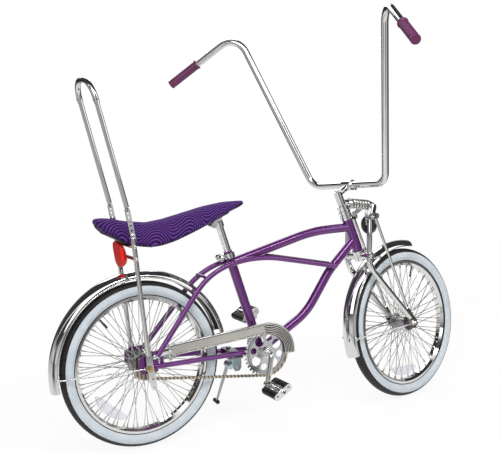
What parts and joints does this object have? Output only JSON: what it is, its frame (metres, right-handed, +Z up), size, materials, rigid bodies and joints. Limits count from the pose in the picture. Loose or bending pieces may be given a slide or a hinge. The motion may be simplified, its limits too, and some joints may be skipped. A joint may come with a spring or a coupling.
{
  "type": "chopper bicycle",
  "caption": "Lowrider style chopper bicycle with springer fork, tall handlebar, banana seat, sissy bar and whitewall tyres, parked on its side stand.",
  "frame": {"origin": "middle of the bounding box, on the floor the bicycle stands on", "axes": "+X runs forward along the frame, +Y to the rider's left, +Z up from the floor; the bicycle leans 5 degrees to its left on the side stand, with the bars turned 14.8 degrees to the left"},
  "size_m": [1.4888, 1.0603, 1.3064],
  "materials": {
    "frame_paint": "gloss metallic",
    "chrome": "polished",
    "tyre_rubber": "matte",
    "seat_velour": "velour",
    "grip_plastic": "gloss",
    "pedal_rubber": "matte",
    "stand_foot_rubber": "matte",
    "reflector_red": "gloss",
    "reflector_black": "gloss",
    "steel": "satin"
  },
  "bodies": {
    "frame": {"head_tube": "frame_paint", "headset_cups": "chrome", "top_tube": "frame_paint", "down_tube": "frame_paint", "seat_tube": "frame_paint", "bottom_bracket": "frame_paint", "bottom_bracket_cups": "chrome", "cantilever_tube_right": "frame_paint", "cantilever_tube_left": "frame_paint", "chainstay_right": "frame_paint", "chainstay_left": "frame_paint", "stay_bridges": "frame_paint", "brake_arm": "steel", "seat_clamp": "chrome", "seat_post": "chrome", "seat_pan": "chrome", "seat_cushion": "seat_velour", "sissy_bar": "chrome", "sissy_strut_right": "chrome", "sissy_strut_left": "chrome", "rear_reflector": "reflector_red", "reflector_bracket": "chrome", "rear_fender": "chrome", "rear_fender_stays": "chrome", "chainguard": "chrome", "chain": "steel", "rear_axle": "chrome", "kickstand_bracket": "steel"},
    "fork": {"fork_crown": "chrome", "fork_collar": "chrome", "fork_leg_right": "chrome", "fork_leg_left": "chrome", "fork_rod_right": "chrome", "fork_rod_left": "chrome", "fork_yoke": "chrome", "fork_spring": "steel", "front_reflector": "reflector_black", "stem": "chrome", "handlebar": "chrome", "grips": "grip_plastic", "front_fender": "chrome", "front_fender_stays": "chrome", "front_axle": "chrome"},
    "front_wheel": {"front_tyre": "tyre_rubber", "front_rim": "chrome", "front_spokes": "chrome", "front_hub": "chrome"},
    "rear_wheel": {"rear_tyre": "tyre_rubber", "rear_rim": "chrome", "rear_spokes": "chrome", "rear_hub": "chrome"},
    "sprocket": {"rear_sprocket": "steel"},
    "crank": {"crank": "chrome", "chainring": "chrome"},
    "pedal_right": {"pedal_cage_right": "chrome", "pedal_blocks_right": "pedal_rubber"},
    "pedal_left": {"pedal_cage_left": "chrome", "pedal_blocks_left": "pedal_rubber"},
    "side_stand": {"kickstand": "chrome", "kickstand_foot": "stand_foot_rubber"}
  },
  "joints": [
    {"name": "steering", "type": "hinge", "parent": "frame", "child": "fork", "pos_m": [0.28964, -0.03622, 0.56809], "axis": [-0.3586, 0.0814, 0.9299], "range_deg": [-74.8, 45.2]},
    {"name": "front_wheel_spin", "type": "hinge", "parent": "fork", "child": "front_wheel", "pos_m": [0.50097, -0.04257, 0.24646], "axis": [-0.2384, 0.9552, -0.1755], "continuous": true},
    {"name": "rear_wheel_spin", "type": "hinge", "parent": "frame", "child": "rear_wheel", "pos_m": [-0.4624, -0.06411, 0.24913], "axis": [0, 0.9962, -0.0872], "continuous": true},
    {"name": "crank_spin", "type": "hinge", "parent": "frame", "child": "crank", "pos_m": [-0.06039, -0.06533, 0.23528], "axis": [0, 0.9962, -0.0872], "continuous": true},
    {"name": "sprocket_spin", "type": "hinge", "parent": "frame", "child": "sprocket", "pos_m": [-0.4624, -0.10396, 0.25262], "axis": [0, 0.9962, -0.0872], "continuous": true},
    {"name": "pedal_right_spin", "type": "hinge", "parent": "crank", "child": "pedal_right", "pos_m": [-0.08107, -0.16878, 0.15434], "axis": [0, 0.9962, -0.0872], "continuous": true},
    {"name": "pedal_left_spin", "type": "hinge", "parent": "crank", "child": "pedal_left", "pos_m": [-0.03972, 0.03811, 0.31622], "axis": [0, 0.9962, -0.0872], "continuous": true},
    {"name": "side_stand_swing", "type": "hinge", "parent": "frame", "child": "side_stand", "pos_m": [-0.16238, -0.04157, 0.19704], "axis": [-0.1998, 0.9599, 0.1968], "range_deg": [0, 100]}
  ],
  "couplings": [
    {"joint": "sprocket_spin", "follows": "crank_spin", "ratio": 2}
  ]
}
